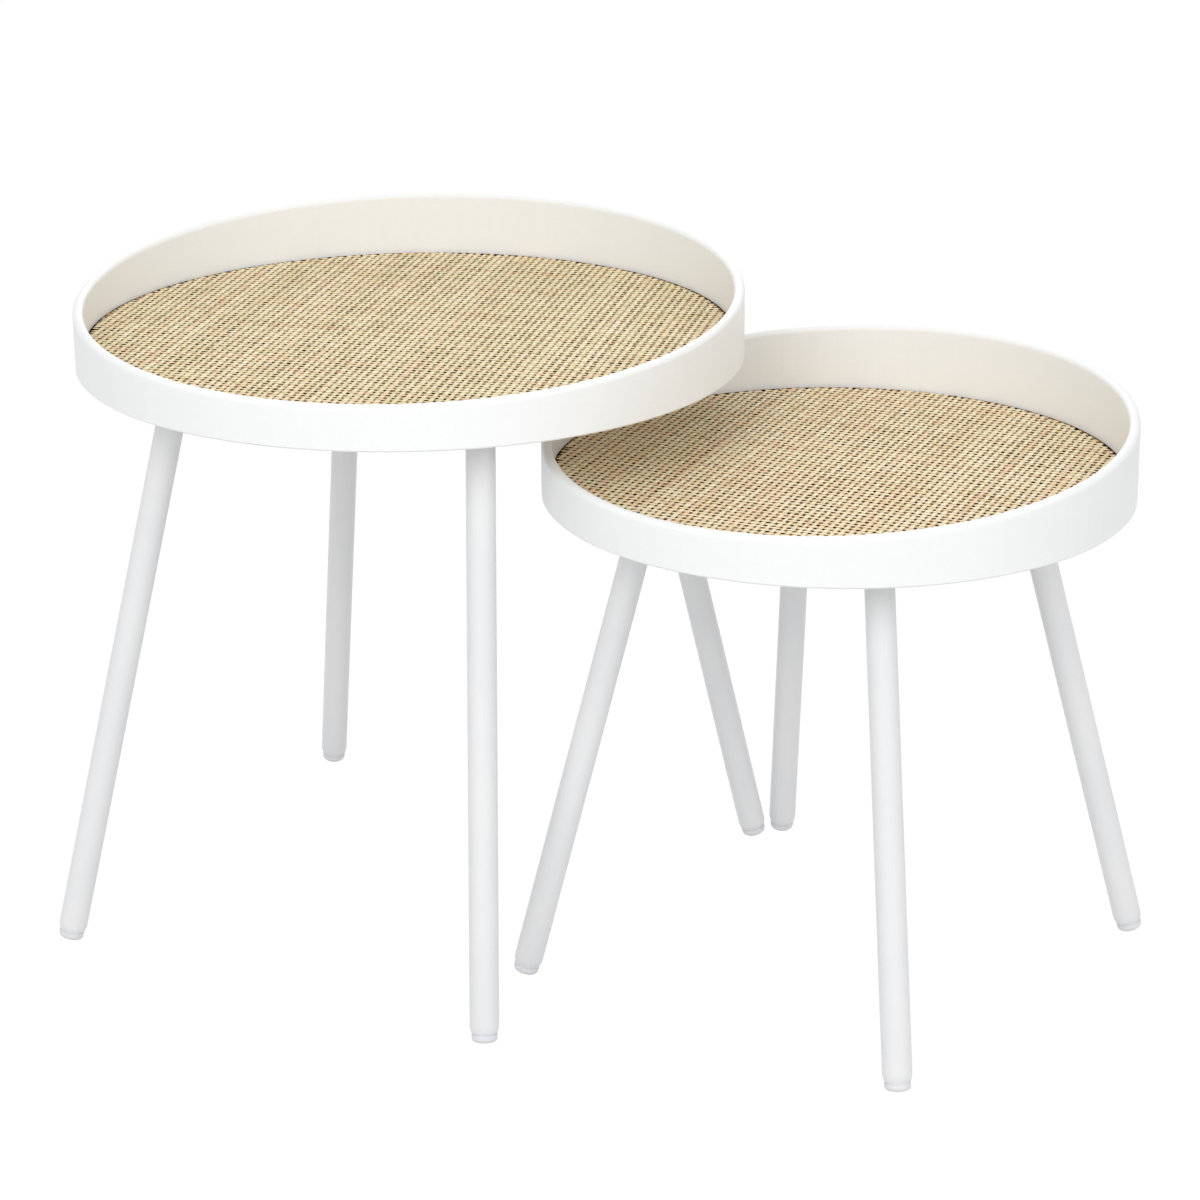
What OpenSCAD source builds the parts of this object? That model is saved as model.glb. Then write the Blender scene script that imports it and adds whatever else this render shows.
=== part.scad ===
/* [Large table] */
// Outside radius of the large tray
large_radius = 235; // [215:1:260]
// Height of the large hoop's lower edge above the floor
large_hoop_z = 411; // [370:1:470]
// Height of the large hoop, halfway between its low side and its high side
large_hoop_h = 47; // [42:1:60]
// Slope of the large hoop's top edge, in degrees
large_slope = 4; // [0:0.5:5]
// Direction of the large hoop's high side, in degrees from +X
large_high_side = 100; // [0:5:355]
// Radius at which the large table's leg axes meet its tray board
large_leg_circle = 165.6; // [150:0.2:170]
// Splay of the large table's legs from upright, in degrees
large_splay = 13.7; // [8:0.1:16]
// Direction of the large table's first leg, in degrees from +X
large_first_leg = 40; // [35:1:45]
// Turn of the large table's first leg plate from straight out, in degrees
large_turn_0 = 5; // [-10:1:10]
// Turn of the large table's second leg plate from straight out, in degrees
large_turn_1 = 0; // [-10:1:10]
// Turn of the large table's third leg plate from straight out, in degrees
large_turn_2 = 0; // [-10:1:10]
// Turn of the large table's fourth leg plate from straight out, in degrees
large_turn_3 = -20; // [-30:1:10]

/* [Small table] */
// Outside radius of the small tray
small_radius = 202; // [180:1:210]
// Height of the small hoop's lower edge above the floor
small_hoop_z = 344; // [300:1:350]
// Height of the small hoop, halfway between its low side and its high side
small_hoop_h = 48.5; // [42:0.5:52]
// Slope of the small hoop's top edge, in degrees
small_slope = 5; // [0:0.5:5.5]
// Direction of the small hoop's high side, in degrees from +X
small_high_side = 75; // [0:5:355]
// Radius at which the small table's leg axes meet its tray board
small_leg_circle = 128.6; // [115:0.2:135]
// Splay of the small table's legs from upright, in degrees
small_splay = 14.8; // [8:0.1:16]
// Direction of the small table's first leg, in degrees from +X
small_first_leg = 29; // [20:1:35]
// Turn of the small table's first leg plate from straight out, in degrees
small_turn_0 = 0; // [-10:1:10]
// Turn of the small table's second leg plate from straight out, in degrees
small_turn_1 = -4; // [-10:1:10]
// Turn of the small table's third leg plate from straight out, in degrees
small_turn_2 = 3; // [-10:1:10]
// Turn of the small table's fourth leg plate from straight out, in degrees
small_turn_3 = 0; // [-10:1:10]

/* [Nesting] */
// Gap at the floor between the two legs that stand nearest, one of each table
nest_gap = 4; // [3:0.5:40]
// Gap between the small table's rim and the large table's legs
rim_gap = 0.5; // [0.3:0.1:10]

/* [Tray] */
// Thickness of the bent hoop
hoop_wall = 7.5; // [6:0.5:10]
// Radius of the rounding along the hoop's top edges
hoop_round = 3; // [1:0.5:3]
// Bevel along the hoop's lower edges
hoop_bevel = 1.2; // [0.5:0.1:2]
// Thickness of the round tray board
board_t = 12; // [10:0.5:16]
// Height of the board's underside above the hoop's lower edge
board_recess = 5; // [3:0.5:8]
// Glue line between the board's edge and the hoop
glue_gap = 0.1; // [0.05:0.05:0.3]
// Thickness of the woven cane sheet
cane_t = 1.4; // [1:0.1:2]
// Gap between the cane's trimmed edge and the hoop
cane_gap = 0.9; // [0.5:0.1:0.9]

/* [Leg tube] */
// Outside radius of the leg tube
tube_r = 10; // [9:0.1:11]
// Wall of the leg tube
tube_wall = 1.5; // [1:0.1:2]
// Height of the swaged stretch at the tube's lower end
swage_h = 5; // [3:0.5:8]
// How far the swage draws the tube's outside in
swage_in = 1.1; // [0.5:0.1:1.2]
// Length of the steel plug in the tube's top end
plug_l = 14; // [10:1:20]
// Gap round the plug inside the tube
plug_gap = 0.1; // [0.05:0.05:0.2]

/* [Leg plate] */
// Side of the square leg plate
plate_w = 54; // [50:1:60]
// Thickness of the leg plate
plate_t = 2.5; // [2:0.5:4]
// Diameter of the round that trims the plate's corners
plate_corner_d = 70; // [68:1:74]
// Radius of the slanted boss that the leg screws into
boss_r = 12; // [11.5:0.5:14]
// Length of the boss along the leg, from the board's underside
boss_l = 15; // [14:1:20]
// Radius of the leg's threaded stud
stud_r = 4; // [3:0.5:5]
// Length of the stud above the plug
stud_l = 10.5; // [8:0.5:11]
// Depth of the boss's threaded hole beyond the stud's end
hole_spare = 1; // [0.5:0.5:1]
// Thread clearance round the stud
thread_gap = 0.05; // [0.05:0.01:0.1]

/* [Plate screws] */
// Distance between the screw centres along each side of a plate
screw_pitch = 38; // [36:1:40]
// Radius of the screw's shank
screw_r = 1.9; // [1.5:0.1:2.2]
// Length of the screw below its head, point included
screw_l = 12; // [9:0.5:12]
// Length of the screw's point
screw_point = 4; // [2:0.5:5]
// Radius of the screw's head
head_r = 3.8; // [3.5:0.1:4.2]
// Height of the screw's head
head_h = 2.4; // [2:0.1:3]
// Length of the cross slot in the screw's head
slot_l = 4; // [3:0.1:5]
// Width of the cross slot
slot_w = 0.9; // [0.7:0.1:1.2]
// Depth of the cross slot
slot_d = 1.3; // [1:0.1:1.5]
// Clearance round the shank in the plate's holes
hole_gap = 0.4; // [0.2:0.1:0.6]
// Clearance round the shank in the board's pilot holes
pilot_gap = 0.05; // [0.05:0.01:0.1]

/* [Glide] */
// Radius of the glide's visible head
glide_r = 8.8; // [8.6:0.1:9]
// Height of the glide below the tube's end
glide_h = 6.5; // [5.5:0.5:10]
// Radius of the rounding round the glide's foot
glide_round = 3; // [1:0.5:4]
// Depth of the groove between the glide's head and its collar
groove_d = 0.5; // [0.3:0.1:0.8]
// Width of the groove
groove_w = 0.6; // [0.5:0.1:0.8]
// Thickness of the collar that meets the tube's end
collar_t = 0.5; // [0.4:0.1:0.8]
// Length of the ribbed shank inside the tube
shank_l = 18; // [12:1:24]
// Gap round the shank's ribs inside the tube
rib_gap = 0.1; // [0.05:0.05:0.2]
// Depth of the ribs
rib_d = 0.9; // [0.5:0.1:1.2]
// Number of ribs on the shank
rib_n = 4; // [2:1:5]
// Radius of the hollow in the shank
core_r = 5; // [4:0.5:5.5]

/* [Hidden] */
$fn = 96;

LARGE = 0;
SMALL = 1;
radius = [large_radius, small_radius];
hoop_z = [large_hoop_z, small_hoop_z];
hoop_h = [large_hoop_h, small_hoop_h];
slope = [large_slope, small_slope];
high_side = [large_high_side, small_high_side];
leg_circle = [large_leg_circle, small_leg_circle];
splay = [large_splay, small_splay];
first_leg = [large_first_leg, small_first_leg];
turn = [
    [large_turn_0, large_turn_1, large_turn_2, large_turn_3],
    [small_turn_0, small_turn_1, small_turn_2, small_turn_3]
];
leg_step = 90;
leg_list = [0:3];
// How far a cut starts outside the face that it opens
cut_over = 1;

// Height of the board's underside
board_z = [for (t = [LARGE, SMALL]) hoop_z[t] + board_recess];
bore_r = tube_r - tube_wall;

// The glide's flat foot is square to the leg, so a leaning leg stands on the rounding's inner side.
// The height of the rounding's centre above the floor there, at the leg's axis:
function round_z(t) = glide_round + (glide_r - glide_round) * sin(splay[t]);

// A leg's length along its axis, from the board's underside to the glide's foot
function tip_down(t) = (board_z[t] - round_z(t)) / cos(splay[t]) + glide_round;

// Plan position of a leg's axis at height z, and where it meets the floor, from the middle of its table
function leg_bearing(t, i) = first_leg[t] + leg_step * i;
function along(angle) = [cos(angle), sin(angle)];
function leg_at(t, i, z) = leg_circle[t] * along(leg_bearing(t, i))
    + (board_z[t] - z) * tan(splay[t]) * along(leg_bearing(t, i) + turn[t][i]);
function foot(t, i) = leg_at(t, i, 0);

// How far along X a point must be pushed to stand `space` from a point that lies `ahead` and `aside` of it
function push(ahead, aside, space) = ahead + sqrt(max(0, pow(space, 2) - pow(aside, 2)));

// The small table is pushed in along X until its second leg stands nest_gap from the first of the large,
// or until its rim stands rim_gap from one of the large table's legs
feet_step = foot(LARGE, 0) - foot(SMALL, 1);
feet_apart = push(feet_step[0], feet_step[1], 2 * tube_r + nest_gap);
rim_space = small_radius + tube_r / cos(large_splay) + rim_gap;
rims_apart = [
    for (i = leg_list)
        let(p = leg_at(LARGE, i, small_hoop_z))
        push(p[0], p[1], rim_space)
];
tables_apart = max(feet_apart, max(rims_apart));

// The origin is midway between the two trays' far edges
table_x = [
    (large_radius - small_radius - tables_apart) / 2,
    (large_radius - small_radius + tables_apart) / 2
];

lacquer = [0.97, 0.97, 0.95];
cane_colour = [0.86, 0.76, 0.58];
powder_coat = [0.9, 0.91, 0.93];
steel = [0.62, 0.63, 0.65];

// The table's own frame: the middle of its tray, at floor level
module at_table(t) {
    translate([table_x[t], 0, 0]) children();
}

// A leg plate's frame: on the board's underside, +X the way the leg splays
module at_plate(t, i) {
    at_table(t)
        rotate(leg_bearing(t, i))
            translate([leg_circle[t], 0, board_z[t]])
                rotate(turn[t][i]) children();
}

// A leg's frame: the same point, -Z down the leg's axis
module at_leg(t, i) {
    at_plate(t, i) rotate([0, -splay[t], 0]) children();
}

// The hoop's cross-section as [radius, height, 1 if the point is on the sloping top edge, else 0]
hoop_sides = 120;
round_steps = 4;
function hoop_arc(r, z, from) = [
    for (k = [0:round_steps])
        let(a = from + 90 * k / round_steps)
        [r + hoop_round * cos(a), z + hoop_round * sin(a), 1]
];
function hoop_section(t) =
    let(
        out = radius[t],
        in = (radius[t] - hoop_wall) / cos(180 / hoop_sides),
        arc_z = hoop_h[t] - hoop_round
    )
    concat(
        [[in + hoop_bevel, 0, 0], [out - hoop_bevel, 0, 0], [out, hoop_bevel, 0]],
        hoop_arc(out - hoop_round, arc_z, 0),
        hoop_arc(in + hoop_round, arc_z, 90),
        [[in, hoop_bevel, 0]]
    );

// A bent strip whose top edge lies in a sloping plane while its lower edge is level
module hoop(t) {
    section = hoop_section(t);
    n = len(section);
    rise = tan(slope[t]);
    points = [
        for (k = [0:hoop_sides - 1], p = section)
            let(a = 360 * k / hoop_sides)
            [p[0] * cos(a), p[0] * sin(a), p[1] + p[2] * rise * p[0] * cos(a - high_side[t])]
    ];
    faces = [
        for (k = [0:hoop_sides - 1], j = [0:n - 1])
            let(next_k = (k + 1) % hoop_sides, next_j = (j + 1) % n)
            [k * n + j, k * n + next_j, next_k * n + next_j, next_k * n + j]
    ];
    color(lacquer)
        at_table(t)
            translate([0, 0, hoop_z[t]]) polyhedron(points, faces);
}

// Places children at the four screws of a plate, in the plate's frame
module at_screws() {
    for (x = [-1, 1], y = [-1, 1])
        translate([x * screw_pitch / 2, y * screw_pitch / 2, 0]) children();
}

// Round tray board with the pilot holes for the plate screws
module board(t) {
    reach = screw_l - plate_t;
    color(lacquer)
        difference() {
            at_table(t)
                translate([0, 0, board_z[t]])
                    cylinder(r = radius[t] - hoop_wall - glue_gap, h = board_t);
            for (i = leg_list)
                at_plate(t, i)
                    at_screws()
                        translate([0, 0, -plate_t]) cylinder(r = screw_r + pilot_gap, h = plate_t + reach);
        }
}

// Woven cane sheet, trimmed round
module cane(t) {
    color(cane_colour)
        at_table(t)
            translate([0, 0, board_z[t] + board_t])
                cylinder(r = radius[t] - hoop_wall - cane_gap, h = cane_t);
}

// Steel plate with a slanted boss, drilled and tapped along the leg's axis
module plate(t, i) {
    hole_l = stud_l + hole_spare;
    color(steel)
        difference() {
            union() {
                at_plate(t, i)
                    translate([0, 0, -plate_t])
                        linear_extrude(plate_t)
                            intersection() {
                                square(plate_w, center = true);
                                circle(d = plate_corner_d);
                            }
                intersection() {
                    at_leg(t, i) translate([0, 0, -boss_l]) cylinder(r = boss_r, h = 2 * boss_l);
                    at_plate(t, i)
                        translate([0, 0, -2 * boss_l - plate_t / 2]) cylinder(r = plate_w, h = 2 * boss_l);
                }
            }
            at_leg(t, i)
                translate([0, 0, -boss_l - cut_over])
                    cylinder(r = stud_r + thread_gap, h = hole_l + cut_over);
            at_plate(t, i)
                at_screws()
                    translate([0, 0, -2 * plate_t]) cylinder(r = screw_r + hole_gap, h = 3 * plate_t);
        }
}

// Steel plug with a threaded stud, fixed in the tube's top end
module stud(t, i) {
    color(steel)
        at_leg(t, i)
            translate([0, 0, -boss_l]) {
                cylinder(r = stud_r, h = stud_l);
                translate([0, 0, -plug_l]) cylinder(r = bore_r - plug_gap, h = plug_l);
            }
}

// The swage's profile is an arc that leaves the tube's wall at its tangent
swage_arc = (pow(swage_h, 2) + pow(swage_in, 2)) / (2 * swage_in);
swage_steps = 6;
function swage_point(k) =
    let(up = swage_h * k / swage_steps)
    [tube_r - swage_arc + sqrt(pow(swage_arc, 2) - pow(swage_h - up, 2)), up];

// Straight steel tube, cut square, from the boss to the glide's collar, with its lower end swaged in
module leg(t, i) {
    top = -boss_l;
    end = -tip_down(t) + glide_h;
    color(powder_coat)
        at_leg(t, i)
            rotate_extrude()
                polygon([
                    [bore_r, end],
                    for (k = [0:swage_steps]) swage_point(k) + [0, end],
                    [tube_r, top],
                    [bore_r, top]
                ]);
}

// The glide's foot: flat, with a rounded edge
glide_steps = 8;
function foot_arc(z) = [
    for (k = [0:glide_steps])
        let(a = -90 + 90 * k / glide_steps)
        [glide_r - glide_round + glide_round * cos(a), z + glide_round + glide_round * sin(a)]
];

// Plastic glide: a head with a rounded foot, a groove, a collar that the tube stands on,
// and a hollow shank with barbed ribs that grip the bore
module glide(t, i) {
    tip = -tip_down(t);
    collar_top = tip + glide_h;
    groove_top = collar_top - collar_t;
    head_top = groove_top - groove_w;
    shank_top = collar_top + shank_l;
    shank_r = bore_r - rib_gap - rib_d;
    rib_step = shank_l / rib_n;
    ribs = [
        for (k = [0:rib_n - 1])
            let(z = collar_top + k * rib_step)
            each [[shank_r, z], [shank_r, z + rib_step / 2], [shank_r + rib_d, z + rib_step / 2]]
    ];
    color(powder_coat)
        at_leg(t, i)
            rotate_extrude()
                polygon(concat(
                    [[0, tip]],
                    foot_arc(tip),
                    [[glide_r, head_top], [glide_r - groove_d, head_top]],
                    [[glide_r - groove_d, groove_top], [glide_r, groove_top], [glide_r, collar_top]],
                    ribs,
                    [[shank_r, shank_top], [core_r, shank_top], [core_r, collar_top], [0, collar_top]]
                ));
}

// One pan head screw in its own frame: the head below, the point up
module pan_screw() {
    difference() {
        rotate_extrude()
            polygon([
                [0, -head_h],
                [head_r * 0.6, -head_h],
                [head_r * 0.9, -head_h * 0.7],
                [head_r, -head_h * 0.3],
                [head_r, 0],
                [screw_r, 0],
                [screw_r, screw_l - screw_point],
                [0, screw_l]
            ]);
        for (a = [0, 90])
            rotate(a)
                translate([-slot_l / 2, -slot_w / 2, -head_h - cut_over])
                    cube([slot_l, slot_w, slot_d + cut_over]);
    }
}

// The sixteen screws that hold a table's four plates
module screws(t) {
    color(steel)
        for (i = leg_list)
            at_plate(t, i)
                at_screws()
                    translate([0, 0, -plate_t]) pan_screw();
}

hoop(LARGE);  // large_hoop
board(LARGE);  // large_board
cane(LARGE);  // large_cane
screws(LARGE);  // large_screws
plate(LARGE, 0);  // large_plate_0
plate(LARGE, 1);  // large_plate_1
plate(LARGE, 2);  // large_plate_2
plate(LARGE, 3);  // large_plate_3
stud(LARGE, 0);  // large_stud_0
stud(LARGE, 1);  // large_stud_1
stud(LARGE, 2);  // large_stud_2
stud(LARGE, 3);  // large_stud_3
leg(LARGE, 0);  // large_leg_0
leg(LARGE, 1);  // large_leg_1
leg(LARGE, 2);  // large_leg_2
leg(LARGE, 3);  // large_leg_3
glide(LARGE, 0);  // large_glide_0
glide(LARGE, 1);  // large_glide_1
glide(LARGE, 2);  // large_glide_2
glide(LARGE, 3);  // large_glide_3
hoop(SMALL);  // small_hoop
board(SMALL);  // small_board
cane(SMALL);  // small_cane
screws(SMALL);  // small_screws
plate(SMALL, 0);  // small_plate_0
plate(SMALL, 1);  // small_plate_1
plate(SMALL, 2);  // small_plate_2
plate(SMALL, 3);  // small_plate_3
stud(SMALL, 0);  // small_stud_0
stud(SMALL, 1);  // small_stud_1
stud(SMALL, 2);  // small_stud_2
stud(SMALL, 3);  // small_stud_3
leg(SMALL, 0);  // small_leg_0
leg(SMALL, 1);  // small_leg_1
leg(SMALL, 2);  // small_leg_2
leg(SMALL, 3);  // small_leg_3
glide(SMALL, 0);  // small_glide_0
glide(SMALL, 1);  // small_glide_1
glide(SMALL, 2);  // small_glide_2
glide(SMALL, 3);  // small_glide_3
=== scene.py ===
"""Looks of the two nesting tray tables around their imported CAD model."""
import math
import random

import bmesh
import bpy
from mathutils import Matrix, Vector


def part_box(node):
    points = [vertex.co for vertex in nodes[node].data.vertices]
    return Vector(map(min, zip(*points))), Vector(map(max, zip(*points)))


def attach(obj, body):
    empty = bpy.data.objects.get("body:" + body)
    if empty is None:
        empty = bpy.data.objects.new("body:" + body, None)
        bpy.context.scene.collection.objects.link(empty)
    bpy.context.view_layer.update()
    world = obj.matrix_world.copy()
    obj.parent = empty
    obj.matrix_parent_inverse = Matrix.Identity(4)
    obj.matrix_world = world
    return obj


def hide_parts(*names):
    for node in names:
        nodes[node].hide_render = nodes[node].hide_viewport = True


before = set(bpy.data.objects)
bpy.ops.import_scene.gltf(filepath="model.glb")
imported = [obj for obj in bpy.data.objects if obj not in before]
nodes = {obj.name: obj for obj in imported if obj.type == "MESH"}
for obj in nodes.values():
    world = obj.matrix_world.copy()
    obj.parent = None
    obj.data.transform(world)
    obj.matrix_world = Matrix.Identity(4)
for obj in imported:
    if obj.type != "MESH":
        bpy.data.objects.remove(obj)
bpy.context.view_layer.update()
scene = bpy.context.scene
TABLES = ("large", "small")

# ---------------------------------------------------------------- camera
# fitted to the outlines of the trays, the legs and the feet in the photograph
IMAGE_PX = 1200
SENSOR_MM = 36.0
FOCAL_PX = 3483.9
CAMERA_AT = Vector((0.8404, -2.1670, 1.0746))
LOOK_AZIMUTH = 111.20
LOOK_DOWN = 19.669
CAMERA_ROLL = -0.465
CAMERA_REACH = 50.0


def make_camera():
    """A pinhole camera at the photograph's place and angle."""
    azimuth, down = math.radians(LOOK_AZIMUTH), math.radians(LOOK_DOWN)
    forward = Vector((
        math.cos(azimuth) * math.cos(down),
        math.sin(azimuth) * math.cos(down),
        -math.sin(down),
    ))
    level = Vector((math.sin(azimuth), -math.cos(azimuth), 0.0))
    upright = level.cross(forward)
    roll = math.radians(CAMERA_ROLL)
    right = math.cos(roll) * level + math.sin(roll) * upright
    up = -math.sin(roll) * level + math.cos(roll) * upright
    data = bpy.data.cameras.new("camera")
    data.sensor_width = SENSOR_MM
    data.lens = FOCAL_PX * SENSOR_MM / IMAGE_PX
    data.clip_end = CAMERA_REACH
    camera = bpy.data.objects.new("camera", data)
    turn = Matrix((right, up, -forward)).transposed()
    camera.matrix_world = Matrix.Translation(CAMERA_AT) @ turn.to_4x4()
    scene.collection.objects.link(camera)
    scene.camera = camera


make_camera()

# ---------------------------------------------------------------- node helpers
# places of the Mix node's colour sockets
MIX_FACTOR, MIX_FIRST, MIX_SECOND, MIX_RESULT = 0, 6, 7, 2


def srgb(red, green, blue):
    """A screen colour, 0 to 255 a channel, as a linear colour."""
    def linear(value):
        value /= 255
        return value / 12.92 if value <= 0.04045 else ((value + 0.055) / 1.055) ** 2.4
    return (linear(red), linear(green), linear(blue), 1.0)


class Material:
    """A node material with short calls to add and join nodes."""

    def __init__(self, name, **sockets):
        self.material = bpy.data.materials.new(name)
        self.material.use_nodes = True
        self.tree = self.material.node_tree
        self.shader = self.tree.nodes["Principled BSDF"]
        for socket, value in sockets.items():
            self.shader.inputs[socket.replace("_", " ")].default_value = value
        self.place = self.add("ShaderNodeTexCoord").outputs["Object"]

    def add(self, kind, **settings):
        node = self.tree.nodes.new(kind)
        for name, value in settings.items():
            setattr(node, name, value)
        return node

    def join(self, source, target):
        self.tree.links.new(source, target)

    def feed(self, value, socket):
        """Join another node's output to the socket, or set a fixed value on it."""
        if hasattr(value, "is_output"):
            self.join(value, socket)
        else:
            socket.default_value = value

    def scaled(self, scale):
        """The object's own coordinates, scaled along each axis."""
        node = self.add("ShaderNodeMapping")
        node.inputs["Scale"].default_value = scale
        self.join(self.place, node.inputs["Vector"])
        return node.outputs["Vector"]

    def noise(self, scale, detail=2.0, rough=0.5, stretch=None):
        node = self.add("ShaderNodeTexNoise")
        node.inputs["Scale"].default_value = scale
        node.inputs["Detail"].default_value = detail
        node.inputs["Roughness"].default_value = rough
        self.join(self.scaled(stretch) if stretch else self.place, node.inputs["Vector"])
        return node.outputs["Fac"]

    def between(self, value, low, high, to_low=0.0, to_high=1.0):
        """value taken from low..high to to_low..to_high, and held there."""
        node = self.add("ShaderNodeMapRange")
        limits = {"From Min": low, "From Max": high, "To Min": to_low, "To Max": to_high}
        for name, number in limits.items():
            node.inputs[name].default_value = number
        self.join(value, node.inputs["Value"])
        return node.outputs["Result"]

    def mix(self, factor, first, second):
        """Two colours mixed, each a socket or a fixed colour."""
        node = self.add("ShaderNodeMix", data_type="RGBA")
        self.feed(factor, node.inputs[MIX_FACTOR])
        self.feed(first, node.inputs[MIX_FIRST])
        self.feed(second, node.inputs[MIX_SECOND])
        return node.outputs[MIX_RESULT]

    def math(self, operation, first, second):
        node = self.add("ShaderNodeMath", operation=operation)
        for socket, value in zip(node.inputs, (first, second)):
            self.feed(value, socket)
        return node.outputs[0]

    def bump(self, height, distance):
        node = self.add("ShaderNodeBump")
        node.inputs["Distance"].default_value = distance
        self.join(height, node.inputs["Height"])
        self.join(node.outputs["Normal"], self.shader.inputs["Normal"])

    def colour(self, socket):
        self.join(socket, self.shader.inputs["Base Color"])

    def rough(self, socket):
        self.join(socket, self.shader.inputs["Roughness"])


# ---------------------------------------------------------------- materials
LACQUER, LACQUER_SOFT = srgb(247, 248, 248), srgb(245, 247, 247)
LACQUER_GRAIN = srgb(240, 240, 238)
# darkest and lightest of the board's upper face: raw board brown with painted shade for the
# cane's holes
BROWN_AND_SHADE_DARK, BROWN_AND_SHADE_LIGHT = srgb(26, 10, 0), srgb(150, 108, 50)
PAINT, PAINT_SOFT = srgb(238, 237, 231), srgb(230, 229, 222)
POWDER, POWDER_SOFT = srgb(236, 236, 237), srgb(232, 233, 235)
PLATE_LIGHT, PLATE_DARK = srgb(196, 198, 202), srgb(170, 172, 178)
ZINC_LIGHT, ZINC_DARK = srgb(206, 207, 204), srgb(178, 180, 182)
PLASTIC, PLASTIC_SOFT = srgb(235, 235, 239), srgb(227, 227, 232)
CANE_PALE, CANE_TAN = srgb(255, 242, 209), srgb(250, 230, 188)
CANE_PINK, CANE_GREEN = srgb(246, 210, 178), srgb(236, 227, 182)
CANE_PATCH, CANE_FLECK = srgb(226, 190, 138), srgb(190, 146, 92)
# colour of the painted shade in the strands' dips and at their edges, partly their darker cut
# edges
CANE_SHADE = srgb(130, 80, 28)
# noise values between which two tones of one paint change over
CLOUD = (0.35, 0.65)
# noise values between which a finish goes from smoother to rougher
GRIT = (0.3, 0.7)


def lacquer_material():
    """White satin lacquer on bent wood, with a faint grain and a slightly uneven sheen."""
    m = Material(
        "white_lacquer", Specular_IOR_Level=0.25, Coat_Weight=0.05, Coat_Roughness=0.35
    )
    cloud = m.noise(9.0, detail=3.0)
    grain = m.noise(220.0, detail=3.0, rough=0.6, stretch=(1.0, 1.0, 7.0))
    white = m.mix(m.between(cloud, *CLOUD), LACQUER, LACQUER_SOFT)
    m.colour(m.mix(m.between(grain, 0.45, 0.75, 0.0, 0.3), white, LACQUER_GRAIN))
    m.rough(m.between(m.math("ADD", cloud, grain), 0.7, 1.3, 0.34, 0.5))
    m.bump(m.math("ADD", grain, m.math("MULTIPLY", cloud, 2.0)), distance=0.00008)
    return m.material


def board_material():
    """Tray board: painted white; its upper face under the cane is dark brown in blotches, partly
    the raw board and partly painted shade seen through the cane's holes and at the wall.
    """
    m = Material("board_paint", Specular_IOR_Level=0.0)
    normal = m.add("ShaderNodeNewGeometry").outputs["Normal"]
    split = m.add("ShaderNodeSeparateXYZ")
    m.join(normal, split.inputs[0])
    # the upper face, seen only through the cane, is near black to brown: partly the raw board,
    # partly painted shade in the holes and the gap at the wall; the blotches make some holes
    # darker than others
    upward = m.between(split.outputs["Z"], 0.4, 0.6)
    fibre = m.noise(400.0, detail=4.0, rough=0.7)
    cloud = m.noise(12.0, detail=3.0)
    blotch = m.noise(230.0, detail=0.0)
    brown_and_shade = m.mix(m.between(blotch, 0.51, 0.58), BROWN_AND_SHADE_DARK, BROWN_AND_SHADE_LIGHT)
    paint = m.mix(m.between(cloud, *CLOUD), PAINT, PAINT_SOFT)
    m.colour(m.mix(upward, paint, brown_and_shade))
    m.rough(m.between(fibre, *GRIT, 0.5, 0.66))
    m.bump(fibre, distance=0.00012)
    return m.material


def powder_material():
    """Cool white powder coat with its fine orange peel."""
    m = Material("powder_coat", Coat_Weight=0.05, Coat_Roughness=0.3)
    peel = m.noise(900.0, rough=0.55)
    cloud = m.noise(14.0)
    m.colour(m.mix(m.between(cloud, *CLOUD), POWDER, POWDER_SOFT))
    m.rough(m.between(peel, *GRIT, 0.36, 0.48))
    m.bump(peel, distance=0.00006)
    return m.material


def steel_material(name, light, dark, roughness):
    """Zinc-plated steel with a faint spangle and rubbed spots."""
    m = Material(name, Metallic=1.0)
    cells = m.add("ShaderNodeTexVoronoi")
    cells.inputs["Scale"].default_value = 260.0
    m.join(m.place, cells.inputs["Vector"])
    spangle = m.between(cells.outputs["Distance"], 0.0, 0.8)
    scuff = m.noise(600.0, detail=3.0, rough=0.6, stretch=(1.0, 1.0, 0.15))
    m.colour(m.mix(spangle, light, dark))
    m.rough(m.between(m.math("ADD", scuff, spangle), 0.4, 1.6, roughness, roughness + 0.2))
    m.bump(scuff, distance=0.00003)
    return m.material


def plastic_material():
    """Soft moulded plastic of the glides, with a fine texture."""
    m = Material("glide_plastic")
    grain = m.noise(1500.0)
    cloud = m.noise(90.0)
    m.colour(m.mix(m.between(cloud, 0.3, 0.7), PLASTIC, PLASTIC_SOFT))
    m.rough(m.between(grain, *GRIT, 0.42, 0.56))
    m.bump(grain, distance=0.00004)
    return m.material


def cane_material():
    """Rattan peel: each strand has a tone and a hue of its own, with growth marks and flecks.

    The colour attribute "strand" holds the tone, the hue, and the painted shade in the dips and
    towards the holes.
    """
    m = Material("woven_cane", Specular_IOR_Level=0.05)
    strand = m.add("ShaderNodeVertexColor", layer_name="strand").outputs["Color"]
    split = m.add("ShaderNodeSeparateColor")
    m.join(strand, split.inputs[0])
    tone, hue, shade = split.outputs
    fleck = m.noise(260.0, detail=3.0, rough=0.6)
    patch = m.noise(55.0)
    base = m.mix(m.between(tone, 0.0, 1.0), CANE_PALE, CANE_TAN)
    base = m.mix(m.between(hue, 0.62, 1.0, 0.0, 0.75), base, CANE_PINK)
    base = m.mix(m.between(hue, 0.38, 0.0, 0.0, 0.6), base, CANE_GREEN)
    base = m.mix(m.between(patch, 0.5, 0.72, 0.0, 0.28), base, CANE_PATCH)
    base = m.mix(m.between(fleck, 0.56, 0.78, 0.0, 0.45), base, CANE_FLECK)
    # painted shade in the dips and at the strands' edges
    base = m.mix(m.between(shade, 0.0, 0.65, 0.95, 0.0), base, CANE_SHADE)
    m.colour(base)
    m.rough(m.between(fleck, *GRIT, 0.42, 0.62))
    m.bump(fleck, distance=0.0001)
    return m.material


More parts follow.
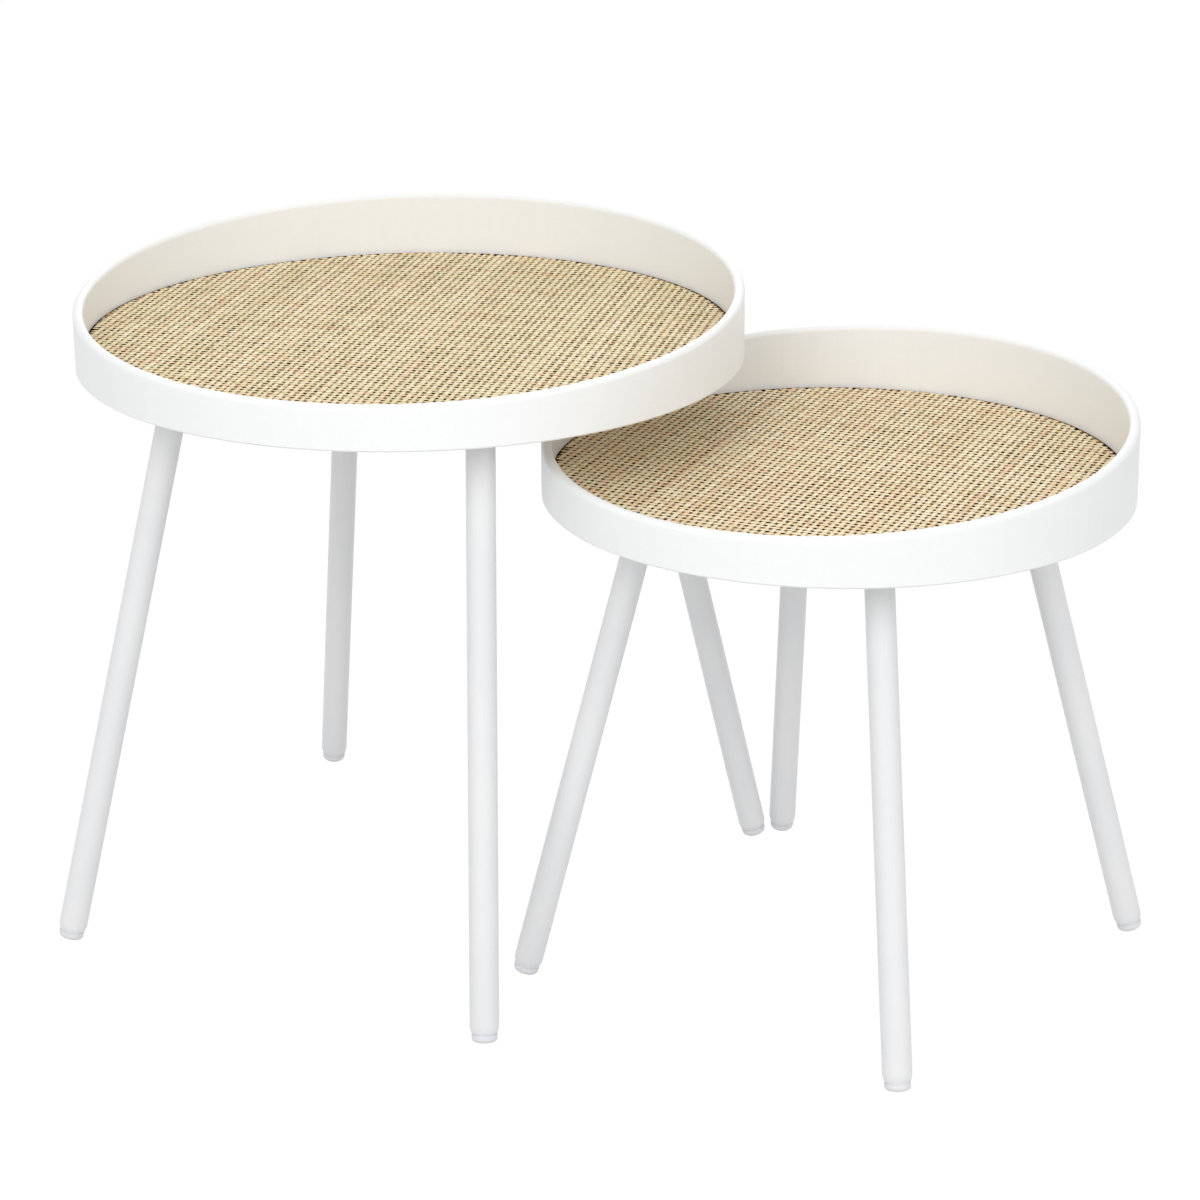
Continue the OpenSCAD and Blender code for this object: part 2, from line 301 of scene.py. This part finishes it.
materials = {
    "white_lacquer": lacquer_material(),
    "board_paint": board_material(),
    "powder_coat": powder_material(),
    "plate_steel": steel_material("plate_steel", PLATE_LIGHT, PLATE_DARK, roughness=0.34),
    "zinc_steel": steel_material("zinc_steel", ZINC_LIGHT, ZINC_DARK, roughness=0.26),
    "glide_plastic": plastic_material(),
    "woven_cane": cane_material(),
}
NODE_MATERIAL = {
    "hoop": "white_lacquer",
    "board": "board_paint",
    "screws": "zinc_steel",
    "plate": "plate_steel",
    "stud": "zinc_steel",
    "leg": "powder_coat",
    "glide": "glide_plastic",
    "cane": "woven_cane",
}
for name, node in nodes.items():
    kind = name.split("_")[1]
    node.data.materials.clear()
    node.data.materials.append(materials[NODE_MATERIAL[kind]])


# ---------------------------------------------------------------- woven cane
# pitch and width are across each of the two families of strands, in metres; turn is the first
# family's direction in degrees; hue is the strands' range between greenish (0) and pink (1)
WEAVE = {
    "large": {
        "pitch": (0.00554, 0.00563), "width": (0.0035, 0.0030), "turn": 97.9,
        "seed": 7, "hue": (0.0, 1.0),
    },
    "small": {
        "pitch": (0.00542, 0.00580), "width": (0.0035, 0.0030), "turn": 88.3,
        "seed": 19, "hue": (0.5, 1.0),
    },
}
STRAND_THICK = 0.00026
STRAND_WAVE = 0.00014
STRAND_SHOULDER = 0.00025
# height of the shoulders above the strand's middle, as a share of its thickness
SHOULDER_LEVEL = 0.32
STEPS_PER_CROSSING = 3
EDGE_GAP = 0.0006
# how far a strand may lie from its even place, as a share of the pitch
PLACE_SPREAD = 0.07
# narrowest and widest strand, as shares of the family's width
WIDTH_SPREAD = (0.86, 1.1)
# how far a strand sways sideways, in metres, and its edges swell, as a share of its width
SWAY = 0.00018
SWELL = 0.07
# steps along a strand from one turn of its wandering to the next
WANDER_SPACING = 4
# painted shade: share of full colour on top of a strand where it dips under another
DIP_SHADE = 0.45
# share of the top's colour at a strand's two lower edges: partly the darker cut edge of the peel,
# partly painted shade towards the holes
SIDE_SHADE = 0.45


def wander(source, count, size):
    """A slow random walk along a strand, smoothed, from -size to size."""
    values = [source.uniform(-size, size) for _ in range(count // WANDER_SPACING + 2)]
    points = []
    for k in range(count):
        low, part = divmod(k / WANDER_SPACING, 1)
        part = part * part * (3 - 2 * part)
        points.append(values[int(low)] * (1 - part) + values[int(low) + 1] * part)
    return points


def strand_places(reach, pitch):
    """Places along a strand: its two ends, and even steps between that fall on the crossings."""
    step = pitch / STEPS_PER_CROSSING
    last = int(reach / step)
    inner = [k * step for k in range(-last, last + 1) if abs(k * step) < reach - step / 4]
    return [-reach] + inner + [reach]


def add_strand(mesh, layer, rings, tone, hue):
    """One closed strand through its rings, each a ring of points with their shades."""
    for (first, first_shade), (second, second_shade) in zip(rings, rings[1:]):
        for j in range(len(first)):
            k = (j + 1) % len(first)
            face = mesh.faces.new((first[j], first[k], second[k], second[j]))
            # only the last side, the underside, stays flat
            face.smooth = k != 0
            shades = (first_shade[j], first_shade[k], second_shade[k], second_shade[j])
            for loop, shade in zip(face.loops, shades):
                loop[layer] = (tone, hue, shade, 1.0)
    mesh.faces.new(rings[0][0])
    mesh.faces.new(rings[-1][0][::-1])


def weave_family(table, family):
    """One family of flat peel strands, over and under the other, cut round to the cane's edge."""
    settings = WEAVE[table]
    source = random.Random(settings["seed"] + 100 * family)
    low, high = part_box(table + "_cane")
    centre = (low + high) / 2
    radius = (high.x - low.x) / 2 - EDGE_GAP
    centre.z = low.z + STRAND_WAVE + STRAND_THICK / 2
    pitch_across = settings["pitch"][family]
    pitch_along = settings["pitch"][1 - family]
    angle = math.radians(settings["turn"] + 90 * family)
    along = Vector((math.cos(angle), math.sin(angle), 0))
    across = Vector((-math.sin(angle), math.cos(angle), 0))
    up = Vector((0, 0, STRAND_THICK))
    mesh = bmesh.new()
    strand_layer = mesh.loops.layers.color.new("strand")
    lines = int(radius / pitch_across)
    for line in range(-lines, lines + 1):
        shift = (line + source.uniform(-PLACE_SPREAD, PLACE_SPREAD)) * pitch_across
        width = settings["width"][family] * source.uniform(*WIDTH_SPREAD)
        reach = math.sqrt(max(0.0, radius ** 2 - (abs(shift) + width / 2) ** 2))
        if reach < pitch_along:
            continue
        places = strand_places(reach, pitch_along)
        sway = wander(source, len(places), SWAY)
        swell = wander(source, len(places), SWELL)
        tone, hue = source.random(), source.uniform(*settings["hue"])
        side = -1 if (line + family) % 2 else 1
        rings = []
        for travel, moved, swelled in zip(places, sway, swell):
            lift = side * math.cos(math.pi * travel / pitch_along)
            half = width * (0.5 + swelled)
            shoulder = half - STRAND_SHOULDER
            base = centre + along * travel + across * (shift + moved)
            base.z += STRAND_WAVE * lift
            outline = (
                (-half, -0.5), (-shoulder, SHOULDER_LEVEL), (0, 0.5),
                (shoulder, SHOULDER_LEVEL), (half, -0.5),
            )
            ring = [mesh.verts.new(base + across * x + up * z) for x, z in outline]
            # painted shade: the strand's top darker the lower it dips, its lower edges darker
            # still
            top = DIP_SHADE + (1 - DIP_SHADE) * (0.5 + 0.5 * lift)
            edge = SIDE_SHADE * top
            rings.append((ring, (edge, top, top, top, edge)))
        add_strand(mesh, strand_layer, rings, tone, hue)
    bmesh.ops.recalc_face_normals(mesh, faces=mesh.faces)
    name = table + ("_cane_warp", "_cane_weft")[family]
    data = bpy.data.meshes.new(name)
    mesh.to_mesh(data)
    mesh.free()
    data.materials.append(materials["woven_cane"])
    piece = bpy.data.objects.new(name, data)
    scene.collection.objects.link(piece)
    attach(piece, table + "_table")
    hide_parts(table + "_cane")


for table in TABLES:
    for family in (0, 1):
        weave_family(table, family)


# ---------------------------------------------------------------- floor, light and background
FLOOR_SIZE = 40
FLOOR_GREY = 0.73
# strength of the white that the camera and gloss see in the floor, and its share there; the
# rest is the lit floor, which keeps the shadow
FLOOR_WHITE = 1.05
FLOOR_WHITE_SHARE = 0.93
WORLD_STRENGTH = 0.69
TRAYS_AT = (0, 0, 0.4)
# name, place, aim, width in metres, power in watts
LAMPS = (
    ("key", (-0.1, -2.6, 1.8), TRAYS_AT, 1.6, 23.5),
    ("fill", (2.2, -1.6, 1.7), TRAYS_AT, 1.6, 15),
    ("back", (-1.0, 2.6, 1.5), TRAYS_AT, 1.6, 12),
    ("top", (0, 0.2, 2.8), (0, 0, 0.3), 2.0, 4),
)


def make_stage():
    """A plain pale floor that keeps the shadow and shows white elsewhere."""
    bpy.ops.mesh.primitive_plane_add(size=FLOOR_SIZE, location=(0, 0, 0))
    floor = bpy.context.object
    floor.name = "floor"
    m = Material("floor", Roughness=0.9, Specular_IOR_Level=0.1)
    m.shader.inputs["Base Color"].default_value = (FLOOR_GREY, FLOOR_GREY, FLOOR_GREY, 1)
    white = m.add("ShaderNodeEmission")
    white.inputs["Strength"].default_value = FLOOR_WHITE
    rays = m.add("ShaderNodeLightPath").outputs
    seen = m.math("MAXIMUM", rays["Is Camera Ray"], rays["Is Glossy Ray"])
    seen = m.math("MAXIMUM", seen, rays["Is Transmission Ray"])
    blend = m.add("ShaderNodeMixShader")
    m.join(m.math("MULTIPLY", seen, FLOOR_WHITE_SHARE), blend.inputs["Fac"])
    m.join(m.shader.outputs[0], blend.inputs[1])
    m.join(white.outputs[0], blend.inputs[2])
    m.join(blend.outputs[0], m.tree.nodes["Material Output"].inputs["Surface"])
    floor.data.materials.append(m.material)


def make_world():
    """Even light from all round, with a white backdrop to the camera and in gloss."""
    world = bpy.data.worlds.new("studio")
    scene.world = world
    world.use_nodes = True
    tree = world.node_tree
    tree.nodes.clear()
    add, join = tree.nodes.new, tree.links.new
    light, white = add("ShaderNodeBackground"), add("ShaderNodeBackground")
    for background, strength in ((light, WORLD_STRENGTH), (white, 1.0)):
        background.inputs["Color"].default_value = (1.0, 1.0, 1.0, 1)
        background.inputs["Strength"].default_value = strength
    rays = add("ShaderNodeLightPath").outputs
    seen = rays["Is Camera Ray"]
    for kind in ("Is Glossy Ray", "Is Transmission Ray"):
        either = add("ShaderNodeMath")
        either.operation = "MAXIMUM"
        join(seen, either.inputs[0])
        join(rays[kind], either.inputs[1])
        seen = either.outputs[0]
    blend = add("ShaderNodeMixShader")
    join(seen, blend.inputs["Fac"])
    join(light.outputs[0], blend.inputs[1])
    join(white.outputs[0], blend.inputs[2])
    join(blend.outputs[0], add("ShaderNodeOutputWorld").inputs["Surface"])


def area_light(name, place, aim, size, power):
    """A round soft lamp that looks from its place to its aim."""
    data = bpy.data.lights.new(name, "AREA")
    data.shape = "DISK"
    data.size = size
    data.energy = power
    lamp = bpy.data.objects.new(name, data)
    lamp.location = place
    lamp.rotation_euler = (Vector(aim) - Vector(place)).to_track_quat("-Z", "Y").to_euler()
    scene.collection.objects.link(lamp)


make_stage()
make_world()
for lamp_settings in LAMPS:
    area_light(*lamp_settings)

scene.view_settings.view_transform = "Standard"
